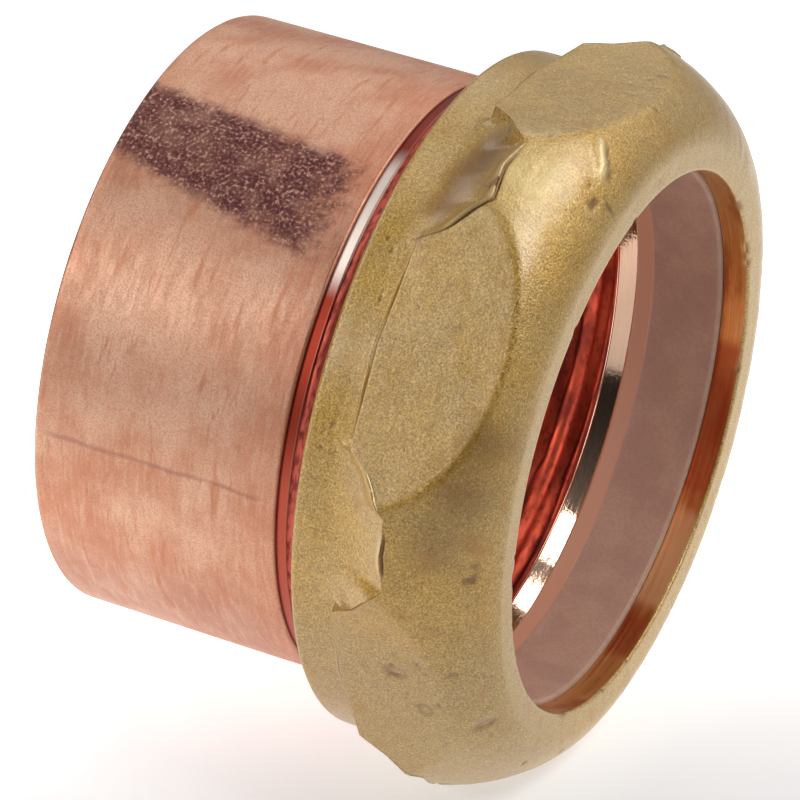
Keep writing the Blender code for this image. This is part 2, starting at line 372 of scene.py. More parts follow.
def body_inside():
    """Outline of its inside, from the front rim back to the cup's rim."""
    bevel_start = (BODY_LENGTH - 0.1, BEVEL_RADIUS - 0.03)
    bevel_end = (RIM_REAR + 0.12, RIM_BORE)
    bevel_round = [(BODY_LENGTH, BEVEL_RADIUS + 0.1), (BODY_LENGTH - 0.03, BEVEL_RADIUS + 0.03),
                   bevel_start]
    rear_round = [bevel_end, (RIM_REAR + 0.03, RIM_BORE + 0.03), RIM_BEHIND[0]]
    chamfer_start = (0.5, CUP_BORE_RADIUS)
    chamfer_end = (0.0, CUP_BORE_RADIUS + 0.3)
    return np.vstack([
        curve(bevel_round, 0.03),
        line(bevel_start, bevel_end, 0.08),
        curve(rear_round, 0.03),
        curve(RIM_BEHIND, 0.15),
        line(RIM_BEHIND[-1], STOP_BEAD[0], 0.15),
        curve(STOP_BEAD, 0.15),
        line(STOP_BEAD[-1], chamfer_start, 1.2),
        line(chamfer_start, chamfer_end, 0.15),
        line(chamfer_end, (0.0, CUP_RADIUS - CUP_EDGE), 0.15),
    ])


def make_body(materials):
    """Copper body with its rolled thread and the slight unevenness of drawn tube."""
    outer = body_outside()
    profile = np.vstack([outer, body_inside()])
    station = profile[:, :1]
    radius = profile[:, 1:]
    outside = (np.arange(len(profile)) < len(outer))[:, None]
    angle = columns(BODY_COLUMNS)
    end = np.where(outside, MALE_END, RIM_REAR - 0.3)
    rise = smooth_step((station - MALE_START) / THREAD_FADE)
    fall = smooth_step((end - station) / THREAD_FADE)
    share = np.where(outside, 1.0, INSIDE_IMPRESSION)
    on_wall = np.where(radius > THREADED_RADIUS, 1.0, 0.0)
    pressed = share * on_wall * THREAD_HEIGHT * ridge(station, angle) * rise * fall
    on_cup = smooth_step((CREASE - 0.6 - station) / 2.0)
    uneven = 0.035 * cylinder_noise(station, angle, 14.0, 11)
    uneven = uneven + 0.006 * cylinder_noise(station, angle, 3.5, 12)
    points = place(station, radius + pressed + on_cup * uneven, angle)
    row_station = station[:, 0]
    row_outside = outside[:, 0]
    zones = np.where(row_outside, OUTSIDE, INSIDE)
    zones[~row_outside & (row_station > RIM_REAR - 0.05)] = RIM
    zones[row_outside & (row_station > CREASE - 0.02) & (row_station < BODY_LENGTH - 0.5)] = FLARE
    return grid_piece("copper_tube_body", points, zones, materials, "copper_body",
                      "copper_body")


# ---------------------------------------------------------------- slip nut

def soft_min(first, second, width):
    """The smaller of two values, with the crossing rounded over width."""
    share = np.clip(0.5 + 0.5 * (second - first) / width, 0.0, 1.0)
    return second + (first - second) * share - width * share * (1.0 - share)


def from_flat(angle):
    """Angle from the middle of the nearest wrench flat, in radians."""
    turn = math.radians(FLAT_STEP)
    return (angle + 0.5 * turn) % turn - 0.5 * turn


def off_flat(angle):
    """Unsigned degrees from the middle of the nearest wrench flat."""
    return np.abs(np.degrees(from_flat(angle)))


def parting_station(angle):
    """Station of the rear edge of the hexagon, where the two casting halves part."""
    turns, stations = zip(*PARTING)
    centre, half, depth = PARTING_NICK
    nick = depth * bell(degrees_from(angle, centre), half)
    return np.interp(off_flat(angle), turns, stations) - nick


def rear_radius(station, parting, edge, angle):
    """Behind the hexagon: a collar that flares out to the corners and steps up to the flats."""
    share = np.clip((station - FLARE_START) / (parting - FLARE_START), 0.0, 1.0)
    flare = share ** FLARE_POWER
    step = 0.12 * share + 0.88 * smooth_step(1.0 - (parting - station) / 0.35)
    on_flat = smooth_step((FLAT_REACH - off_flat(angle)) / 1.5)
    return COLLAR_RADIUS + (edge - COLLAR_RADIUS) * (flare + (step - flare) * on_flat)


def flat_radius(angle):
    """Radius at which each direction meets its wrench flat."""
    return (NUT_APOTHEM + nearest(FLAT_GROWTH, angle)) / np.cos(from_flat(angle))


def front_radius(station, angle):
    """The front casting half: dome and corner arcs, cut by the flats."""
    corner = CORNER_RADIUS + round_axis(CORNER_GROWTH, angle)
    power = round_axis(DOME_POWERS, angle)
    along = np.clip((station - DOME_START) / (NUT_FRONT - DOME_START), 0.0, 1.0)
    across = (1.0 - along ** power) ** (1.0 / power)
    dome = FACE_RADIUS + (corner - FACE_RADIUS) * across
    softness = 0.08 + 0.08 * smooth_step((station - 29.0) / 5.5)
    return soft_min(dome, flat_radius(angle), softness)


def flash(angle):
    """Height of the flash along the rear edge, in millimetres, and its painted shadow line, 0 to 1.
    """
    height = np.zeros_like(angle)
    dark = np.zeros_like(angle)
    for centre, half, value, line_share in FLASH:
        here = smooth_step(1.6 * (1.0 - np.abs(degrees_from(angle, centre)) / half))
        height += value * here
        dark += line_share * here
    ragged = 0.8 + 0.3 * edge_noise(angle, 1.3, 21)
    return height * ragged, np.clip(dark, 0.0, 1.0)


def nut_outside(angle):
    """Stations and radii of the nut's outside, and how far each point is ahead of the rear edge."""
    parting = parting_station(angle)
    edge = front_radius(parting, angle)
    lip, _ = flash(angle)
    share = np.arange(REAR_ROWS)[:, None] / (REAR_ROWS - 1)
    start = NUT_REAR + COLLAR_EDGE
    rear_x = start + (parting - start) * (1.0 - (1.0 - share) ** 1.4)
    rear_r = rear_radius(rear_x, parting, edge, angle)
    width = 0.7 + 0.2 * edge_noise(angle, 1.8, 25)
    rear_r += np.maximum(lip, 0.0) * bell(parting - rear_x, width)
    steps = np.array(ROWS_AHEAD)[:, None]
    quarter = 0.5 * math.pi * (np.arange(FRONT_ROWS)[:, None] + 1.0) / FRONT_ROWS
    swept = np.sin(quarter) ** (2.0 / round_axis(DOME_POWERS, angle))
    begin = parting + steps[-1]
    front_x = np.vstack([parting + steps, begin + (NUT_FRONT - begin) * swept])
    front_r = front_radius(front_x, angle)
    front_r += np.maximum(-lip, 0.0) * bell(front_x - parting, 0.5)
    station = np.vstack([rear_x, front_x])
    return station, np.vstack([rear_r, front_r]), station - parting


def nut_rear_rim(angle):
    """Rows of the collar's rear rim."""
    corner = COLLAR_RADIUS - COLLAR_EDGE
    profile = np.vstack([
        line((NUT_REAR, MOUTH_RADIUS), (NUT_REAR, corner), 0.2),
        arc((NUT_REAR + COLLAR_EDGE, corner), COLLAR_EDGE, 180.0, 90.0, 5),
    ])
    ones = np.ones_like(angle)
    return profile[:, :1] * ones, profile[:, 1:] * ones


def nut_inside(angle):
    """Rows of the front face, bore, lip, chamber and thread."""
    bore_start = (NUT_FRONT - BORE_EDGE, NUT_BORE)
    bore_end = (LIP_REAR + LIP_EDGE, NUT_BORE)
    lip_back = (LIP_REAR, NUT_BORE + LIP_EDGE)
    chamber_front = (LIP_REAR, CHAMBER_RADIUS)
    chamber_rear = (FEMALE_END + 0.3, CHAMBER_RADIUS)
    thread_end = (FEMALE_END, FEMALE_MINOR)
    profile = np.vstack([
        line((NUT_FRONT, FACE_RADIUS - 0.25), (NUT_FRONT, NUT_BORE + BORE_EDGE), 0.22),
        arc((NUT_FRONT - BORE_EDGE, NUT_BORE + BORE_EDGE), BORE_EDGE, 360.0, 270.0, 3),
        line(bore_start, bore_end, 0.25),
        arc((LIP_REAR + LIP_EDGE, NUT_BORE + LIP_EDGE), LIP_EDGE, 270.0, 180.0, 2),
        line(lip_back, chamber_front, 0.6),
        line(chamber_front, chamber_rear, 0.6),
        line(chamber_rear, thread_end, 0.3),
        line(thread_end, (NUT_REAR, FEMALE_MINOR), 0.3),
    ])
    ones = np.ones_like(angle)
    station = profile[:, :1] * ones
    return station, cut_thread(station, profile[:, 1:] * ones, angle)


def cut_thread(station, radius, angle):
    """Sink the female thread and countersink its mouth, as in the CAD."""
    in_thread = (station < FEMALE_END + 0.05) & (radius < FEMALE_MINOR + 0.05)
    groove = THREAD_HEIGHT * ridge(station, angle) * smooth_step((FEMALE_END - station) / THREAD_FADE)
    sink = (MOUTH_RADIUS - FEMALE_MINOR) * (1.0 - (station - NUT_REAR) / MOUTH_DEPTH)
    return np.where(in_thread, radius + np.maximum(groove, sink), radius)


def patch_distance(station, angle, centre, degrees, size):
    """Distance from the middle of a round patch of the casting, as a share of its size."""
    turn = (angle - math.radians(degrees) + math.pi) % (2.0 * math.pi) - math.pi
    return np.hypot(station - centre, CAST_RADIUS * turn) / size


def dent_depth(station, angle):
    """Depth of the round dents with a raised middle, and how dirty they are."""
    depth = np.zeros_like(station)
    dirt_and_shade = np.zeros_like(station)
    wobble = 1.0 + 0.35 * cylinder_noise(station, angle, 0.7, 31)
    for centre, degrees, size, deep in DENTS:
        away = patch_distance(station, angle, centre, degrees, size) * wobble
        depth += deep * bell(away, 1.0) * (1.0 - 0.5 * bell(away, 0.4))
        dirt_and_shade += 0.6 * bell(away - 0.75, 0.45)
    return depth, dirt_and_shade


def painted_shade_share(station, angle):
    """Darkness of the broad patches of painted shade."""
    dark = np.zeros_like(station)
    for centre, degrees, size, value in PAINTED_SHADE_PATCHES:
        dark += value * bell(patch_distance(station, angle, centre, degrees, size), 1.0)
    return dark


def sliver_height(station, angle):
    """Thin ragged slivers of flash standing on the dome, with a darker line beside each."""
    height = np.zeros_like(station)
    dirt_and_shade = np.zeros_like(station)
    arc_length = CAST_RADIUS * ((angle + math.pi) % (2.0 * math.pi) - math.pi)
    for (start, start_turn), (end, end_turn), high in SLIVERS:
        first = np.array([start, CAST_RADIUS * math.radians(start_turn)])
        last = np.array([end, CAST_RADIUS * math.radians(end_turn)])
        length = np.linalg.norm(last - first)
        way = (last - first) / length
        along = (station - first[0]) * way[0] + (arc_length - first[1]) * way[1]
        aside = (station - first[0]) * -way[1] + (arc_length - first[1]) * way[0]
        aside = aside + 0.3 * cylinder_noise(along, 0.0 * along, 1.2, 41)
        broken = smooth_step(0.9 + 1.2 * cylinder_noise(along, 0.0 * along + 1.0, 1.0, 42))
        on_it = smooth_step(along / 0.6) * smooth_step((length - along) / 0.6) * broken
        height += high * on_it * bell(aside, 0.3)
        dirt_and_shade += 0.7 * on_it * bell(aside - 0.45, 0.15)
    return height, dirt_and_shade


def cast_share(station, radius, outside):
    """How rough-cast each point is: 1 on the outside, less on the front face, 0 where turned."""
    cast = np.zeros_like(station)
    cast[outside] = smooth_step((station[outside] - NUT_REAR - 0.3) / 1.0)
    cast[(station > NUT_FRONT - 0.01) & (radius > NUT_BORE + 0.3)] = 0.6
    return cast


def sand_grain(path, angle):
    """Height of the sand-cast skin, and its pits, 0 to 1."""
    rough_ground = 0.35 + 0.65 * smooth_step((path - 24.0) / 1.5)
    height = np.zeros_like(path)
    for size, cell, seed in GRAIN:
        height += size * cylinder_noise(path, angle, cell, seed)
    for size, cell, seed in FINE_GRAIN:
        height += rough_ground * size * cylinder_noise(path, angle, cell, seed)
    pit = cylinder_noise(path, angle, 0.6, 5) * cylinder_noise(path, angle, 2.9, 6)
    return height, smooth_step((pit - 0.44) / 0.25)


def edge_groove(ahead, angle, dark):
    """Groove in front of the flash, and behind the rear edge of each flat, which also takes painted
    shade; 0 to 1.
    """
    share = 0.55 + 0.45 * edge_noise(angle, 3.0, 22)
    behind_flat = smooth_step((17.5 - off_flat(angle)) / 2.0)
    before_flash = bell(ahead - 0.10, 0.07) * dark
    return before_flash + bell(ahead + 0.08, 0.10) * (0.6 + 0.4 * share) * behind_flat


def bore_nicks(station, radius, angle):
    """Small nicks in the edge of the bore at the front face; 0 to 1."""
    nick = edge_noise(angle, 0.9, 23) + 0.6 * edge_noise(angle, 3.5, 24)
    at_edge = bell(np.hypot(station - NUT_FRONT, radius - NUT_BORE), 0.35)
    return at_edge * smooth_step((nick - 0.55) / 0.5)


def wear_and_highlight_share(station, ahead, angle, lip):
    """How bright wear has left the dome and its corners, with painted highlight along the top of the
    flash and on the upper corner.
    """
    on_lip = bell(ahead + 0.20, 0.3) * np.clip(lip / 0.25, 0.0, 1.0)
    on_dome = smooth_step((ahead - 0.1) / 0.3) * (ahead < FAR_OFF - 1.0)
    on_dome = on_dome * smooth_step((NUT_FRONT - 1.5 - station) / 3.0)
    return on_lip + on_dome * round_axis(WEAR_AND_HIGHLIGHT, angle)


def make_nut(materials):
    """Cast slip nut: hexagon and dome, flash, dents and sand grain, with a machined bore."""
    angle = columns(NUT_COLUMNS)
    rim_x, rim_r = nut_rear_rim(angle)
    out_x, out_r, out_ahead = nut_outside(angle)
    in_x, in_r = nut_inside(angle)
    station = np.vstack([rim_x, out_x, in_x])
    radius = np.vstack([rim_r, out_r, in_r])
    outside = slice(len(rim_x), len(rim_x) + len(out_x))
    ahead = np.full_like(station, FAR_OFF)
    ahead[outside] = out_ahead
    path = station + np.maximum(0.0, FACE_RADIUS - radius) * (station > NUT_FRONT - 1.0)
    cast = cast_share(station, radius, outside)
    grain, pit = sand_grain(path, angle)
    dent, dent_dirt = dent_depth(path, angle)
    sliver, sliver_line = sliver_height(path, angle)
    lip, dark = flash(angle)
    groove = edge_groove(ahead, angle, dark)
    nick = bore_nicks(station, radius, angle)
    push = cast * (grain - PIT_DEPTH * pit - dent + sliver)
    push = push - GROOVE_DEPTH * groove - NICK_DEPTH * nick
    # Grime in the pits and round the dents, a darker line beside each sliver, and broad patches of
    # painted shade.
    dirt_and_shade = cast * (0.7 * pit + dent_dirt + sliver_line + painted_shade_share(path, angle))
    # Painted shade darkens the grooves along the hexagon's rear edge; the nicks in the bore's edge
    # are darker too.
    dirt_and_shade = dirt_and_shade + 1.3 * groove + 0.9 * nick
    # Wear on the dome's corners, painted highlight on the upper corner and the top of the flash, and
    # brighter slivers.
    wear_and_highlight = wear_and_highlight_share(station, ahead, angle, lip) + cast * sliver / 0.2
    points = place(station, radius, angle)
    points = points + grid_normals(points) * (push * MM)[..., None]
    turned = np.arange(len(station)) >= outside.stop
    zones = np.where(turned & (station[:, 0] <= NUT_FRONT - 0.15), 1, 0)
    marks = {"dirt_and_shade": np.clip(dirt_and_shade, 0.0, 1.0), "wear_and_highlight": np.clip(wear_and_highlight, 0.0, 1.0)}
    return grid_piece("cast_slip_nut", points, zones, materials, "slip_nut", "slip_nut",
                      marks)


# ---------------------------------------------------------------- slip washer

def make_washer(material):
    """Soft washer: a thick ring with rounded edges and a step in its bore."""
    rear = BODY_LENGTH + WASHER_GAP
    front = LIP_REAR - WASHER_GAP
    rear_round = rear + WASHER_EDGE
    front_round = front - WASHER_EDGE
    outer_round = WASHER_RADIUS - WASHER_EDGE
    inner_round = WASHER_BORE + WASHER_EDGE
    rear_bore = WASHER_BORE + WASHER_STEP_DEPTH
    step = [(WASHER_STEP + 0.1, WASHER_BORE), (WASHER_STEP, WASHER_BORE + 0.02),
            (WASHER_STEP - 0.15, WASHER_BORE + 0.12), (rear, rear_bore)]
    profile = np.vstack([
        arc((rear_round, outer_round), WASHER_EDGE, 180.0, 90.0, 4),
        line((rear_round, WASHER_RADIUS), (front_round, WASHER_RADIUS), 0.6),
        arc((front_round, outer_round), WASHER_EDGE, 90.0, 0.0, 4),
        line((front, outer_round), (front, inner_round), 0.5),
        arc((front_round, inner_round), WASHER_EDGE, 360.0, 270.0, 6),
        line((front_round, WASHER_BORE), step[0], 0.3),
        curve(step, 0.15),
        line((rear, rear_bore), (rear, outer_round), 0.5),
    ])
    angle = columns(WASHER_COLUMNS)
    station = profile[:, :1]
    radius = profile[:, 1:] + 0.02 * cylinder_noise(station, angle, 6.0, 51)
    points = place(station, radius, angle)
    zones = np.zeros(len(profile), int)
    return grid_piece("soft_slip_washer", points, zones, [material], "slip_washer",
                      "slip_washer")


# ---------------------------------------------------------------- materials

class Nodes:
    """A node tree, with short calls for the nodes that it needs."""

    def __init__(self, tree):
        self.tree = tree

    def give(self, socket, value):
        """Link a socket to another, or set it to a constant."""
        if isinstance(value, bpy.types.NodeSocket):
            self.tree.links.new(value, socket)
        elif isinstance(value, tuple) and len(value) == 3 and len(socket.default_value) == 4:
            socket.default_value = (*value, 1.0)
        else:
            socket.default_value = value

    def maths(self, operation, first, second=0.0, third=0.0):
        """A Math node."""
        node = self.tree.nodes.new("ShaderNodeMath")
        node.operation = operation
        self.give(node.inputs[0], first)
        self.give(node.inputs[1], second)
        self.give(node.inputs[2], third)
        return node.outputs[0]

    def vector_maths(self, operation, first, second):
        """A Vector Math node whose result is a number."""
        node = self.tree.nodes.new("ShaderNodeVectorMath")
        node.operation = operation
        self.give(node.inputs[0], first)
        self.give(node.inputs[1], second)
        return node.outputs["Value"]

    def ramp(self, value, low, high, start=0.0, end=1.0):
        """Go smoothly from start to end while value goes from low to high."""
        node = self.tree.nodes.new("ShaderNodeMapRange")
        node.interpolation_type = "SMOOTHSTEP"
        self.give(node.inputs["Value"], value)
        node.inputs["From Min"].default_value = low
        node.inputs["From Max"].default_value = high
        node.inputs["To Min"].default_value = start
        node.inputs["To Max"].default_value = end
        return node.outputs["Result"]


class Surface(Nodes):
    """A material under construction."""

    def __init__(self, name):
        self.material = bpy.data.materials.new(name)
        self.material.use_nodes = True
        super().__init__(self.material.node_tree)
        self.shader = self.tree.nodes["Principled BSDF"]
        coordinates = self.tree.nodes.new("ShaderNodeTexCoord")
        self.position = coordinates.outputs["Object"]
        split = self.tree.nodes.new("ShaderNodeSeparateXYZ")
        self.tree.links.new(self.position, split.inputs[0])
        self.x, self.y, self.z = split.outputs

    def band(self, value, low, high, edge):
        """1 while value is between low and high, and 0 outside, with soft edges."""
        rise = self.ramp(value, low - edge, low + edge)
        fall = self.ramp(value, high - edge, high + edge, 1.0, 0.0)
        return self.maths("MULTIPLY", rise, fall)

    def noise(self, cell, detail=3.0, drawn=1.0, shift=0.0):
        """Noise in spots of about cell mm, drawn out round the axis; 0 to 1 about 0.5."""
        mapping = self.tree.nodes.new("ShaderNodeMapping")
        self.give(mapping.inputs["Vector"], self.position)
        fine = 1.0 / (cell * MM)
        mapping.inputs["Scale"].default_value = (fine, fine / drawn, fine / drawn)
        mapping.inputs["Location"].default_value = (shift, shift, shift)
        texture = self.tree.nodes.new("ShaderNodeTexNoise")
        texture.inputs["Scale"].default_value = 1.0
        texture.inputs["Detail"].default_value = detail
        self.give(texture.inputs["Vector"], mapping.outputs[0])
        return texture.outputs[0]

    def mix(self, share, first, second):
        """A colour between first and second."""
        node = self.tree.nodes.new("ShaderNodeMix")
        node.data_type = "RGBA"
        self.give(node.inputs["Factor"], share)
        self.give(node.inputs[6], first)
        self.give(node.inputs[7], second)
        return node.outputs[2]

    def tint(self, colour, mask, strength, second):
        """Lay a second colour over the first where mask is 1, at the given strength."""
        return self.mix(self.maths("MULTIPLY", mask, strength), colour, second)

    def mark(self, name):
        """A number stored on the mesh's points."""
        node = self.tree.nodes.new("ShaderNodeAttribute")
        node.attribute_name = name
        return node.outputs["Fac"]

    def station(self):
        """Distance along the axis from the cup's rim, in millimetres."""
        return self.maths("DIVIDE", self.maths("SUBTRACT", self.x, RIM_X), MM)

    def turn(self):
        """Angle round the axis from +Z towards +Y, in degrees."""
        return self.maths("DEGREES", self.maths("ARCTAN2", self.y, self.z))

    def bump(self, height, depth, normal=None):
        """Small relief, depth in millimetres."""
        node = self.tree.nodes.new("ShaderNodeBump")
        node.inputs["Strength"].default_value = 1.0
        node.inputs["Distance"].default_value = depth * MM
        self.give(node.inputs["Height"], height)
        if normal is not None:
            self.give(node.inputs["Normal"], normal)
        return node.outputs[0]

    def finish(self, **values):
        """Fill in the shader's sockets and return the material."""
        for name, value in values.items():
            self.give(self.shader.inputs[name.replace("_", " ")], value)
        return self.material


def painted_dark_reflection_band(surface, station, turn):
    """Dark speckled band that runs along the top of the cup: a painted reflection of a dark object; 0
    to 1.
    """
    fuzz = surface.maths("SUBTRACT", surface.noise(0.8, 4.0, shift=3.0), 0.5)
    turned = surface.maths("MULTIPLY_ADD", fuzz, 4.0, turn)
    upper = surface.maths("MULTIPLY_ADD", station, -0.32, -21.5)
    lower = surface.maths("MULTIPLY_ADD", station, -0.60, -39.5)
    below = surface.ramp(surface.maths("SUBTRACT", turned, upper), -2.6, 1.2, 1.0, 0.0)
    above = surface.ramp(surface.maths("SUBTRACT", turned, lower), -1.2, 2.6)
    reached = surface.maths("MULTIPLY_ADD", fuzz, 5.0, station)
    ends = surface.ramp(reached, 15.4, 18.2, 1.0, 0.0)
    return surface.maths("MULTIPLY", surface.maths("MULTIPLY", below, above), ends)


def copper_seam(surface, station, turn):
    """Faint dark line along the cup, from the drawing of the tube; 0 to 1."""
    wander = surface.maths("SUBTRACT", surface.noise(3.0, 3.0), 0.5)
    seam = surface.band(surface.maths("MULTIPLY_ADD", wander, 2.0, turn), -94.0, -93.2, 0.4)
    seam = surface.maths("MULTIPLY", seam, surface.band(station, 1.2, 17.5, 0.8))
    broken = surface.ramp(surface.noise(1.3, 3.0, shift=9.0), 0.3, 0.6, 0.4, 0.6)
    return surface.maths("MULTIPLY", seam, broken)


def copper_ground(surface, station, turn):
    """Broad tones of the cup: blotches, a painted highlight patch, painted shade on the underside and
    a red front end.
    """
    blotch = surface.ramp(surface.noise(4.5, 4.0), 0.36, 0.66)
    colour = surface.mix(blotch, (0.870, 0.520, 0.360), (0.720, 0.335, 0.208))
    # Painted highlight: a lighter patch part way along the cup's upper side.
    painted_highlight_patch = surface.maths("MULTIPLY", surface.band(station, 4.5, 11.5, 3.0),
                           surface.band(turn, -78.0, -46.0, 8.0))
    colour = surface.tint(colour, painted_highlight_patch, 0.6, (0.960, 0.600, 0.420))
    # Painted shade: the underside of the cup is darker.
    below = surface.band(turn, -166.0, -120.0, 12.0)
    colour = surface.tint(colour, below, 0.6, (0.560, 0.315, 0.240))
    reddish = surface.ramp(station, 14.5, 18.6, 0.0, 0.5)
    return surface.mix(reddish, colour, (0.800, 0.345, 0.215))


def copper_scratches(surface, colour):
    """Fine streaks, rust-red smears and hairlines that run round the cup."""
    streak = surface.ramp(surface.noise(0.3, 4.0, drawn=9.0), 0.45, 0.75)
    colour = surface.tint(colour, streak, 0.5, (0.888, 0.583, 0.408))
    rust = surface.ramp(surface.noise(0.7, 5.0, drawn=6.0, shift=7.0), 0.56, 0.76)
    colour = surface.tint(colour, rust, 0.85, (0.685, 0.280, 0.148))
    hairline = surface.band(surface.noise(1.1, 2.0, drawn=8.0, shift=13.0), 0.490, 0.510, 0.012)
    scratched = surface.ramp(surface.noise(3.5, 3.0, shift=15.0), 0.45, 0.62, 0.0, 0.45)
    return surface.tint(colour, hairline, scratched, (0.560, 0.190, 0.110))


def dark_reflection_colour(surface):
    """Colour of the painted dark reflection: purple-brown, with copper showing through in specks."""
    speck = surface.noise(0.24, 3.0, shift=2.0)
    dark = surface.mix(surface.ramp(speck, 0.40, 0.60), (0.160, 0.056, 0.058), (0.330, 0.145, 0.120))
    return surface.mix(surface.ramp(speck, 0.56, 0.68), dark, (0.680, 0.410, 0.320))


def copper_outside():
    """Drawn copper: salmon pink with fine grain, faint turning streaks, a painted dark reflection
    band along the top, and painted shade at the rim's edge and in the crease.
    """
    surface = Surface("copper_outside")
    station = surface.station()
    turn = surface.turn()
    colour = copper_scratches(surface, copper_ground(surface, station, turn))
    grain = surface.noise(0.13, 3.0)
    colour = surface.mix(surface.ramp(grain, 0.40, 0.62, 0.0, 0.45), colour, (0.535, 0.253, 0.159))
    # Painted reflection of a dark object: a dark speckled band along the top of the cup.
    dark_reflection = painted_dark_reflection_band(surface, station, turn)
    thick = surface.ramp(surface.noise(1.8, 3.0, shift=5.0), 0.25, 0.6, 0.72, 1.0)
    colour = surface.tint(colour, dark_reflection, thick, dark_reflection_colour(surface))
    colour = surface.mix(copper_seam(surface, station, turn), colour, (0.420, 0.180, 0.140))
    # Painted shade: a dark line along the rounded edge of the cup's rim.
    edge = surface.ramp(station, 0.02, 0.22, 0.8, 0.0)
    colour = surface.mix(edge, colour, (0.160, 0.060, 0.050))
    # Painted shade: a dark red line in the crease where the cup meets the flare.
    crease = surface.ramp(station, CREASE - 0.07, CREASE - 0.02)
    colour = surface.tint(colour, crease, 0.9, (0.110, 0.024, 0.024))
    rough = surface.ramp(surface.noise(0.5, 3.0, drawn=4.0), 0.3, 0.7, 0.44, 0.56)
    rough = surface.maths("MULTIPLY_ADD", dark_reflection, 0.15, rough)
    relief = surface.bump(surface.noise(0.3, 4.0, drawn=5.0), 0.008)
    relief = surface.bump(grain, 0.012, relief)
    return surface.finish(Base_Color=colour, Roughness=rough, Normal=relief, Metallic=1.0)


def copper_flare():
    """Drawn flare and rolled thread in front of the cup: a painted white highlight above, deep red
    painted reflection and shade elsewhere, lighter red below.
    """
    surface = Surface("copper_flare")
    station = surface.station()
    turn = surface.turn()
    crest_station = FLARE_CREST[0]
    # Painted highlight: a white band across the upper part of the flare.
    painted_highlight_band = surface.band(turn, -51.0, -24.0, 4.0)
    # Painted reflection: deep red over the rest of the flare, lighter red on its underside.
    underside = surface.band(turn, -165.0, -85.0, 8.0)
    red = surface.mix(underside, (0.290, 0.038, 0.020), (0.470, 0.085, 0.050))
    colour = surface.mix(painted_highlight_band, red, (0.97, 0.83, 0.74))
    # Painted highlight: a pinker line along the flare's crest.
    crest = surface.band(station, crest_station - 0.04, crest_station + 0.06, 0.04)
    colour = surface.tint(colour, crest, 0.7, (0.42, 0.16, 0.12))
    # Painted shade: the start of the thread beside the nut is dark maroon; where the nut hides it,
    # the copper keeps its own colour.
    fleck = surface.ramp(surface.noise(0.3, 4.0, drawn=3.0), 0.42, 0.68)
    thread = surface.mix(fleck, (0.56, 0.110, 0.075), (0.20, 0.034, 0.026))
    hidden = surface.ramp(station, MALE_START + 0.4, MALE_START + 2.0)
    thread = surface.mix(hidden, thread, (0.760, 0.400, 0.265))
    on_thread = surface.ramp(station, crest_station + 0.06, crest_station + 0.14)
    colour = surface.mix(on_thread, colour, thread)
    # Painted shade: a dark line in the crease at the foot of the flare.
    foot = surface.ramp(station, CREASE, CREASE + 0.05, 0.9, 0.0)
    colour = surface.mix(foot, colour, (0.090, 0.014, 0.016))
    rough = surface.ramp(painted_highlight_band, 0.0, 1.0, 0.36, 0.42)
    rough = surface.maths("MAXIMUM", rough, surface.ramp(on_thread, 0.0, 1.0, 0.0, 0.4))
    relief = surface.bump(surface.noise(0.25, 3.0, drawn=6.0), 0.006)
    return surface.finish(Base_Color=colour, Roughness=rough, Normal=relief, Metallic=1.0)


def thread_shadow(surface):
    """Dark wandering line down the hollow of the thread, seen from inside; 0 to 1."""
    wander = surface.maths("SUBTRACT", surface.noise(2.2, 3.0, drawn=3.0, shift=5.0), 0.5)
    turns = surface.maths("DIVIDE", surface.turn(), 360.0)
    turns = surface.maths("MULTIPLY_ADD", surface.station(), 1.0 / THREAD_PITCH, turns)
    turns = surface.maths("MULTIPLY_ADD", wander, 0.6, turns)
    line_share = surface.band(surface.maths("FRACT", turns), 0.42, 0.50, 0.05)
    threaded = surface.ramp(surface.station(), MALE_START - 1.0, MALE_START)
    return surface.maths("MULTIPLY", line_share, threaded)


def copper_inside():
    """Inside of the tube: deep red painted reflection, blotched dark, giving way to the copper's own
    colour near the cup's rim.
    """
    surface = Surface("copper_inside")
    blotch = surface.ramp(surface.noise(1.6, 4.0, drawn=2.0), 0.36, 0.64)
    colour = surface.mix(blotch, (0.58, 0.088, 0.044), (0.28, 0.042, 0.030))
    fleck = surface.ramp(surface.noise(0.35, 4.0, drawn=2.0, shift=3.0), 0.5, 0.75, 0.0, 0.6)
    colour = surface.mix(fleck, colour, (0.12, 0.020, 0.016))
    # The deep red is painted reflection; near the cup's rim the copper keeps its own colour.
    copper_near_rim = surface.ramp(surface.station(), 2.0, 15.0, 0.75, 0.0)
    colour = surface.mix(copper_near_rim, colour, (0.700, 0.310, 0.200))
    colour = surface.tint(colour, thread_shadow(surface), 0.85, (0.035, 0.012, 0.012))
    rough = surface.ramp(surface.noise(0.8, 3.0, drawn=2.0), 0.3, 0.7, 0.32, 0.48)
    relief = surface.bump(surface.noise(0.5, 4.0, drawn=2.0), 0.03)
    return surface.finish(Base_Color=colour, Roughness=rough, Normal=relief, Metallic=1.0)


def copper_rim():
    """Bevelled front rim of the tube, polished bright."""
    surface = Surface("copper_rim")
    streak = surface.noise(0.15, 3.0, drawn=20.0)
    colour = surface.mix(streak, (0.95, 0.65, 0.48), (0.90, 0.56, 0.39))
    rough = surface.ramp(streak, 0.3, 0.7, 0.05, 0.12)
    relief = surface.bump(surface.noise(0.35, 3.0), 0.006)
    return surface.finish(Base_Color=colour, Roughness=rough, Normal=relief, Metallic=1.0)


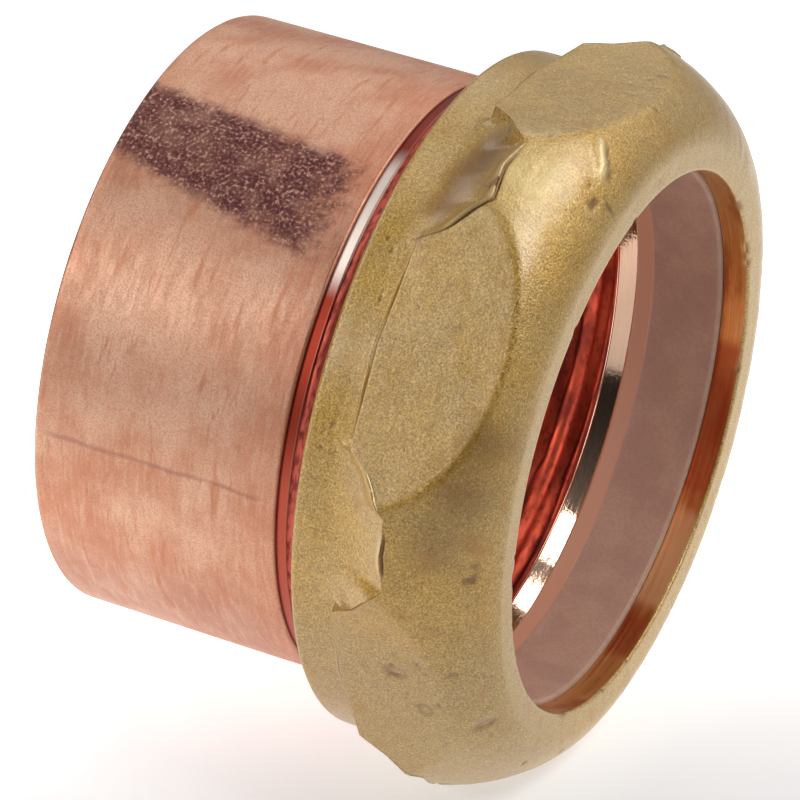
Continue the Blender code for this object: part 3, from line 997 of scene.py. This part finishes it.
def brass_ground(surface):
    """Broad tones of the casting: patches, dust, painted shade on a greyer underside and a paler
    front face.
    """
    patch = surface.ramp(surface.noise(3.5, 4.0), 0.36, 0.64)
    colour = surface.mix(patch, (0.604, 0.354, 0.068), (0.530, 0.302, 0.048))
    dusty = surface.ramp(surface.noise(5.0, 4.0, shift=11.0), 0.44, 0.60, 0.0, 0.55)
    colour = surface.mix(dusty, colour, (0.520, 0.338, 0.108))
    # Painted shade: the underside of the nut is darker and greyer.
    below = surface.band(surface.turn(), -162.0, -106.0, 12.0)
    colour = surface.tint(colour, below, 0.7, (0.430, 0.300, 0.135))
    front = surface.ramp(surface.station(), NUT_FRONT - 0.5, NUT_FRONT - 0.05, 0.0, 0.6)
    return surface.mix(front, colour, (0.530, 0.352, 0.118))


def cast_brass():
    """Sand-cast brass: dull khaki gold with a gritty skin, brown grime in the pits and round the
    dents, painted shade in the grooves and broad patches, and bright wear with painted highlight.
    """
    surface = Surface("cast_brass")
    colour = brass_ground(surface)
    grain = surface.noise(0.13, 5.0)
    colour = surface.mix(surface.ramp(grain, 0.46, 0.68, 0.0, 0.72), colour, (0.892, 0.624, 0.205))
    colour = surface.mix(surface.ramp(grain, 0.34, 0.46, 0.62, 0.0), colour, (0.315, 0.161, 0.032))
    soot = surface.ramp(surface.noise(0.26, 4.0, shift=4.0), 0.56, 0.72, 0.0, 0.6)
    colour = surface.mix(soot, colour, (0.276, 0.139, 0.028))
    ochre = surface.ramp(surface.noise(1.9, 5.0, shift=6.0), 0.58, 0.74, 0.0, 0.6)
    colour = surface.mix(ochre, colour, (0.519, 0.237, 0.033))
    # Bright wear, with painted highlight on the upper corner and the top of the flash.
    colour = surface.tint(colour, surface.mark("wear_and_highlight"), 0.75, (0.980, 0.778, 0.396))
    # Grime darkens the casting, and painted shade darkens its grooves and broad patches.
    dirt_and_shade = surface.ramp(surface.mark("dirt_and_shade"), 0.05, 0.9, 0.0, 0.9)
    colour = surface.mix(dirt_and_shade, colour, (0.242, 0.102, 0.012))
    rough = surface.ramp(surface.noise(0.7, 3.0, shift=1.0), 0.3, 0.7, 0.40, 0.54)
    relief = surface.bump(grain, 0.07)
    relief = surface.bump(surface.noise(0.42, 4.0, shift=8.0), 0.08, relief)
    return surface.finish(Base_Color=colour, Roughness=rough, Normal=relief, Metallic=1.0,
                          Specular_Tint=(0.80, 0.66, 0.40, 1.0), Coat_Weight=1.0,
                          Coat_IOR=1.7, Coat_Roughness=0.30)


def machined_brass():
    """Turned brass of the nut's bore and thread, with circular tool marks, tarnish, and painted
    reflections in sectors.
    """
    surface = Surface("machined_brass")
    marks = surface.noise(0.12, 4.0, drawn=60.0)
    colour = surface.mix(surface.ramp(marks, 0.35, 0.7), (0.814, 0.470, 0.154), (0.924, 0.638, 0.286))
    blotch = surface.ramp(surface.noise(2.2, 4.0, drawn=3.0), 0.46, 0.64, 0.0, 0.85)
    colour = surface.mix(blotch, colour, (0.550, 0.224, 0.077))
    turn = surface.turn()
    # Painted reflections: darker and brighter sectors round the bore.
    for low, high, share, tone in BORE_PAINTED_REFLECTIONS:
        colour = surface.tint(colour, surface.band(turn, low, high, 2.0), share, tone)
    rough = surface.ramp(marks, 0.3, 0.7, 0.30, 0.42)
    relief = surface.bump(marks, 0.008)
    return surface.finish(Base_Color=colour, Roughness=rough, Normal=relief, Metallic=1.0)


def washer_plastic():
    """Soft washer: dull brown-grey plastic, faintly mottled, pinker on its rear ring."""
    surface = Surface("washer_polyethylene")
    cloud = surface.ramp(surface.noise(2.5, 3.0), 0.35, 0.65)
    colour = surface.mix(cloud, (0.567, 0.353, 0.261), (0.498, 0.302, 0.230))
    mottle = surface.ramp(surface.noise(0.2, 3.0, shift=2.0), 0.35, 0.7, 0.0, 0.35)
    colour = surface.mix(mottle, colour, (0.394, 0.222, 0.162))
    rear = surface.ramp(surface.station(), WASHER_STEP - 0.12, WASHER_STEP + 0.05, 1.0, 0.0)
    colour = surface.mix(rear, colour, (0.686, 0.353, 0.230))
    rough = surface.ramp(surface.noise(0.9, 3.0), 0.3, 0.7, 0.40, 0.50)
    relief = surface.bump(surface.noise(0.5, 3.0), 0.008)
    return surface.finish(Base_Color=colour, Roughness=rough, Normal=relief,
                          Subsurface_Weight=0.15, Subsurface_Radius=(0.0018, 0.0012, 0.0010),
                          Subsurface_Scale=1.0)


# ---------------------------------------------------------------- studio

def around(azimuth, elevation, distance):
    """A place seen from the fitting; azimuth 0 is towards -Y and 90 is towards +X."""
    turn = math.radians(azimuth)
    rise = math.radians(elevation)
    flat = distance * math.cos(rise)
    return (flat * math.sin(turn), -flat * math.cos(turn), distance * math.sin(rise))


def soft_light(name, location, width, height, power, roll):
    """A rectangular soft box that faces the fitting, turned about its own axis by roll degrees."""
    data = bpy.data.lights.new(name, "AREA")
    data.shape = "RECTANGLE"
    data.size = width
    data.size_y = height
    data.energy = power
    light = bpy.data.objects.new(name, data)
    light.location = location
    bpy.context.scene.collection.objects.link(light)
    toward_fitting = -Vector(location)
    light.rotation_euler = toward_fitting.to_track_quat("-Z", "Y").to_euler()
    light.rotation_euler.rotate_axis("Z", math.radians(roll))


def make_lights():
    """Keys high on the right, and broad boxes at the back, at the left and low in front."""
    for name, azimuth, elevation, distance, width, height, power, roll in LIGHTS:
        soft_light(name, around(azimuth, elevation, distance), width, height, power, roll)


def make_world():
    """Dim studio air, with pale walls behind and to the right and a dark room in front."""
    world = bpy.data.worlds.new("studio")
    bpy.context.scene.world = world
    world.use_nodes = True
    nodes = Nodes(world.node_tree)
    looked_at = nodes.tree.nodes.new("ShaderNodeTexCoord").outputs["Generated"]
    strength = AIR_GLOW
    for azimuth, wall_strength in WALLS:
        toward = nodes.vector_maths("DOT_PRODUCT", looked_at, around(azimuth, WALL_ELEVATION, 1.0))
        wall = nodes.ramp(toward, WALL_FADE, 1.0, 0.0, wall_strength)
        strength = nodes.maths("ADD", wall, strength)
    background = nodes.tree.nodes["Background"]
    nodes.give(background.inputs["Color"], (1.0, 1.0, 1.0))
    nodes.give(background.inputs["Strength"], strength)


def light_table():
    """Pale matt table top with glowing pools behind and to the left of the fitting."""
    surface = Surface("light_table")
    glow = TABLE_GLOW
    for middle, full, gone, strength in TABLE_POOLS:
        away = surface.vector_maths("DISTANCE", surface.position, middle)
        glow = surface.maths("ADD", surface.ramp(away, full, gone, strength, 0.0), glow)
    return surface.finish(Base_Color=(0.65, 0.65, 0.65), Roughness=0.8, Specular_IOR_Level=0.0,
                          Emission_Color=(1.0, 1.0, 1.0), Emission_Strength=glow)


def make_floor():
    """Flat round floor under the fitting, topped with the light table."""
    bpy.ops.mesh.primitive_circle_add(vertices=96, radius=TABLE_RADIUS, fill_type="NGON",
                                      location=(0.0, 0.0, NUT_BOX[0].z - TABLE_GAP))
    floor = bpy.context.active_object
    floor.name = "floor"
    floor.data.materials.append(light_table())


def make_camera():
    """Camera at the photograph's viewing angle, with a slight roll."""
    data = bpy.data.cameras.new("camera")
    data.lens = CAMERA_LENS
    data.sensor_width = CAMERA_SENSOR
    data.clip_start = 0.01
    data.clip_end = 20.0
    camera = bpy.data.objects.new("camera", data)
    camera.location = CAMERA_PLACE
    camera.rotation_euler = [math.radians(turn) for turn in CAMERA_TURN]
    bpy.context.scene.collection.objects.link(camera)
    bpy.context.scene.camera = camera


make_camera()
make_world()
make_lights()
make_floor()
make_body([copper_outside(), copper_inside(), copper_rim(), copper_flare()])
make_nut([cast_brass(), machined_brass()])
make_washer(washer_plastic())
bpy.context.scene.view_settings.view_transform = "Standard"
